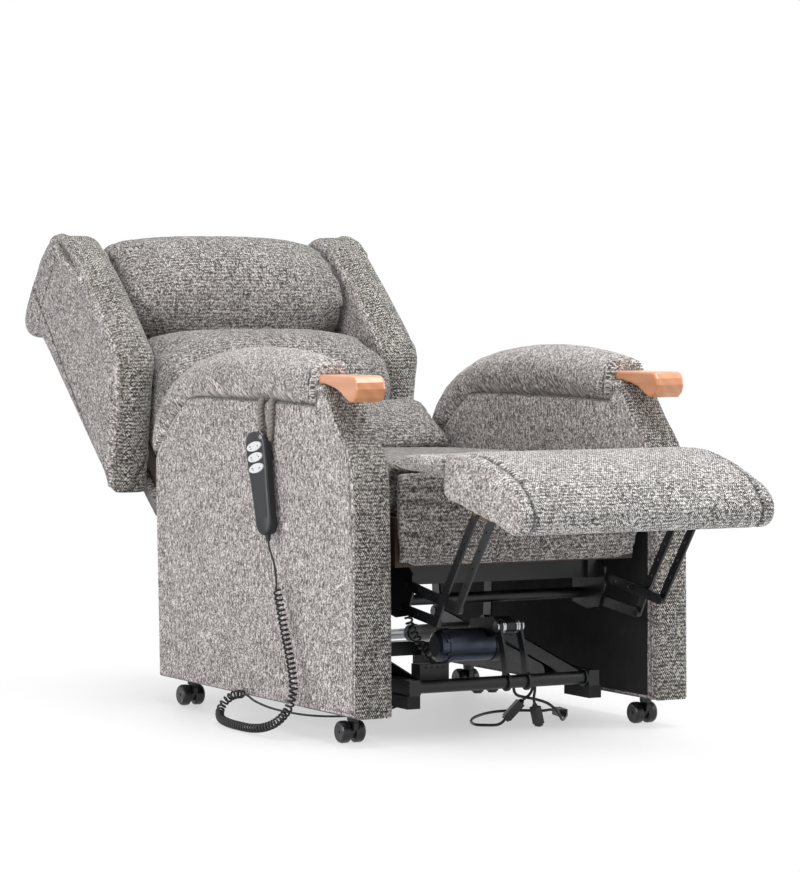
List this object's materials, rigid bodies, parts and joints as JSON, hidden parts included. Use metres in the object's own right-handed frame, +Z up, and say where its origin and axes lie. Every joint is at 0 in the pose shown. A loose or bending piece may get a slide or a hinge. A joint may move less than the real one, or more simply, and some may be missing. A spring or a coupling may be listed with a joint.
{
  "type": "lift recliner chair",
  "caption": "Upholstered recliner on a powered lift base, back lowered and footrest raised, with padded wings, wooden hand rests, twin-wheel casters and a corded handset.",
  "frame": {"origin": "middle of the whole outline seen from above, on the floor", "axes": "-Y is the front, where the footrest is; +Z is up; +X is the sitter's left. The long axis runs along Y."},
  "size_m": [0.7639, 1.9212, 0.919],
  "materials": {
    "chenille": "heathered grey chenille, soft pile",
    "strie": "heathered grey weave with fine upright stripes",
    "hardwood": "satin lacquered reddish beech",
    "frame_wood": "plain sawn",
    "black_steel": "satin black powder coat",
    "board": "black stained board with steel brackets",
    "zinc": "zinc plated",
    "rod_steel": "ground",
    "motor_case": "satin dark grey",
    "drive_case": "fine textured",
    "foot_rubber": "matt",
    "caster_black": "moulded, with a zinc stem",
    "wheel_black": "moulded",
    "handset_case": "fine textured",
    "button_grey": "soft matt",
    "cord_black": "smooth sheath"
  },
  "bodies": {
    "base": {"base_frame": "black_steel", "base_feet": "foot_rubber", "control_box": "drive_case", "handset_tail": "cord_black", "inner_curls_lead": "cord_black", "lead_a": "cord_black", "lead_b": "cord_black", "lead_c": "cord_black", "lead_d": "cord_black", "plug_a": "cord_black", "plug_b": "cord_black", "coupler_c": "cord_black"},
    "front_lift": {"front_lift_link": "black_steel", "lift_pin": "zinc"},
    "rear_lift": {"rear_lift_links": "black_steel"},
    "lift_drive": {"lift_motor": "motor_case", "lift_gearbox": "drive_case"},
    "lift_push_rod": {"lift_rod": "rod_steel"},
    "chair": {"lift_frame": "black_steel", "seat_box": "frame_wood", "seat_front_panel": "chenille", "seat_cushion": "chenille", "arm_right": "strie", "arm_left": "strie", "arm_pad_right": "chenille", "arm_pad_left": "chenille", "knuckle_right": "hardwood", "knuckle_left": "hardwood", "handset": "handset_case", "handset_hanger": "chenille", "handset_cord": "cord_black", "handset_curls": "cord_black"},
    "back": {"back_frame": "frame_wood", "back_cover": "strie", "wing_right": "chenille", "wing_left": "chenille", "head_cushion": "chenille", "middle_cushion": "chenille", "lower_cushion": "chenille"},
    "back_drive": {"back_motor": "drive_case"},
    "back_push_rod": {"back_rod": "rod_steel"},
    "fold_upper": {"footrest_upper_links": "black_steel"},
    "fold_lower": {"footrest_lower_links": "black_steel"},
    "fold_long": {"footrest_long_bars": "black_steel"},
    "fold_front": {"footrest_front_bars": "black_steel"},
    "footrest": {"footrest_board": "board", "footrest_pad": "chenille"},
    "flap": {"footrest_flap": "chenille"},
    "rocker_top": {"button_top": "button_grey"},
    "rocker_middle": {"button_middle": "button_grey"},
    "rocker_bottom": {"button_bottom": "button_grey"},
    "swivel_front_right": {"caster_front_right": "caster_black"},
    "roller_front_right": {"wheels_front_right": "wheel_black"},
    "swivel_front_left": {"caster_front_left": "caster_black"},
    "roller_front_left": {"wheels_front_left": "wheel_black"},
    "swivel_rear_right": {"caster_rear_right": "caster_black"},
    "roller_rear_right": {"wheels_rear_right": "wheel_black"},
    "swivel_rear_left": {"caster_rear_left": "caster_black"},
    "roller_rear_left": {"wheels_rear_left": "wheel_black"}
  },
  "joints": [
    {"name": "lift", "type": "hinge", "parent": "base", "child": "front_lift", "pos_m": [0.012, -0.451, 0.092], "axis": [1, 0, 0], "range_deg": [0, 52]},
    {"name": "lift_tilt", "type": "hinge", "parent": "front_lift", "child": "chair", "pos_m": [0.012, -0.09887, 0.16685], "axis": [1, 0, 0], "range_deg": [-41.7, 0]},
    {"name": "rear_lift_swing", "type": "hinge", "parent": "base", "child": "rear_lift", "pos_m": [0.012, -0.319, 0.092], "axis": [1, 0, 0], "range_deg": [0, 48.47]},
    {"name": "lift_drive_swing", "type": "hinge", "parent": "front_lift", "child": "lift_drive", "pos_m": [0.044, -0.423, 0.19], "axis": [1, 0, 0], "range_deg": [-49.86, 0]},
    {"name": "lift_drive_stroke", "type": "slide", "parent": "lift_drive", "child": "lift_push_rod", "axis": [0, 0.9932, -0.1167], "range_m": [0, 0.08752]},
    {"name": "recline", "type": "hinge", "parent": "chair", "child": "back", "pos_m": [0.012, 0.317, 0.29], "axis": [1, 0, 0], "range_deg": [0, 38], "deforming": ["lower_cushion"]},
    {"name": "back_drive_swing", "type": "hinge", "parent": "chair", "child": "back_drive", "pos_m": [-0.02, -0.133, 0.24], "axis": [1, 0, 0], "range_deg": [0, 0.305]},
    {"name": "back_drive_stroke", "type": "slide", "parent": "back_drive", "child": "back_push_rod", "axis": [0, 0.999, -0.0436], "range_m": [0, 0.04606]},
    {"name": "footrest_fold", "type": "hinge", "parent": "chair", "child": "fold_upper", "pos_m": [0.012, -0.468, 0.279], "axis": [1, 0, 0], "range_deg": [0, 80]},
    {"name": "fold_lower_swing", "type": "hinge", "parent": "chair", "child": "fold_lower", "pos_m": [0.012, -0.4468, 0.2358], "axis": [1, 0, 0], "range_deg": [0, 80.98]},
    {"name": "fold_long_swing", "type": "hinge", "parent": "fold_upper", "child": "fold_long", "pos_m": [0.012, -0.607, 0.258], "axis": [1, 0, 0], "range_deg": [-88.1, 0]},
    {"name": "fold_front_swing", "type": "hinge", "parent": "fold_upper", "child": "fold_front", "pos_m": [0.012, -0.662, 0.25], "axis": [1, 0, 0], "range_deg": [-88.1, 0]},
    {"name": "footrest_swing", "type": "hinge", "parent": "fold_long", "child": "footrest", "pos_m": [0.012, -0.7267, 0.421], "axis": [1, 0, 0], "range_deg": [0, 88.1]},
    {"name": "flap_swing", "type": "hinge", "parent": "chair", "child": "flap", "pos_m": [0.012, -0.527, 0.484], "axis": [1, 0, 0], "range_deg": [0, 89.7]},
    {"name": "press_top", "type": "hinge", "parent": "chair", "child": "rocker_top", "pos_m": [-0.36149, -0.20896, 0.51703], "axis": [0, 0.2334, 0.9724], "range_deg": [-4, 4], "stiffness_Nm_per_rad": 0.4},
    {"name": "press_middle", "type": "hinge", "parent": "chair", "child": "rocker_middle", "pos_m": [-0.36149, -0.21362, 0.49759], "axis": [0, 0.2334, 0.9724], "range_deg": [-4, 4], "stiffness_Nm_per_rad": 0.4},
    {"name": "press_bottom", "type": "hinge", "parent": "chair", "child": "rocker_bottom", "pos_m": [-0.36149, -0.21829, 0.47814], "axis": [0, 0.2334, 0.9724], "range_deg": [-4, 4], "stiffness_Nm_per_rad": 0.4},
    {"name": "swivel_front_right", "type": "hinge", "parent": "chair", "child": "swivel_front_right", "pos_m": [-0.2935, -0.457, 0.045], "axis": [0, 0, 1], "continuous": true},
    {"name": "roll_front_right", "type": "hinge", "parent": "swivel_front_right", "child": "roller_front_right", "pos_m": [-0.2935, -0.445, 0.02], "axis": [1, 0, 0], "continuous": true},
    {"name": "swivel_front_left", "type": "hinge", "parent": "chair", "child": "swivel_front_left", "pos_m": [0.3175, -0.457, 0.045], "axis": [0, 0, 1], "continuous": true},
    {"name": "roll_front_left", "type": "hinge", "parent": "swivel_front_left", "child": "roller_front_left", "pos_m": [0.3175, -0.445, 0.02], "axis": [1, 0, 0], "continuous": true},
    {"name": "swivel_rear_right", "type": "hinge", "parent": "chair", "child": "swivel_rear_right", "pos_m": [-0.2935, 0.205, 0.045], "axis": [0, 0, 1], "continuous": true},
    {"name": "roll_rear_right", "type": "hinge", "parent": "swivel_rear_right", "child": "roller_rear_right", "pos_m": [-0.2935, 0.217, 0.02], "axis": [1, 0, 0], "continuous": true},
    {"name": "swivel_rear_left", "type": "hinge", "parent": "chair", "child": "swivel_rear_left", "pos_m": [0.3175, 0.205, 0.045], "axis": [0, 0, 1], "continuous": true},
    {"name": "roll_rear_left", "type": "hinge", "parent": "swivel_rear_left", "child": "roller_rear_left", "pos_m": [0.3175, 0.217, 0.02], "axis": [1, 0, 0], "continuous": true}
  ],
  "couplings": [
    {"joint": "lift_tilt", "follows": "lift", "ratio": -0.8},
    {"joint": "rear_lift_swing", "follows": "lift", "ratio": 0.9302},
    {"joint": "lift_drive_swing", "follows": "lift", "ratio": -0.957},
    {"joint": "lift_drive_stroke", "follows": "lift", "m_per_rad": 0.09621},
    {"joint": "back_drive_swing", "follows": "recline", "ratio": 0.0067},
    {"joint": "back_drive_stroke", "follows": "recline", "m_per_rad": 0.06914},
    {"joint": "fold_lower_swing", "follows": "footrest_fold", "ratio": 1.011},
    {"joint": "fold_long_swing", "follows": "footrest_fold", "ratio": -1.1},
    {"joint": "fold_front_swing", "follows": "footrest_fold", "ratio": -1.1},
    {"joint": "footrest_swing", "follows": "footrest_fold", "ratio": 1.1},
    {"joint": "flap_swing", "follows": "footrest_fold", "ratio": 1.12}
  ]
}
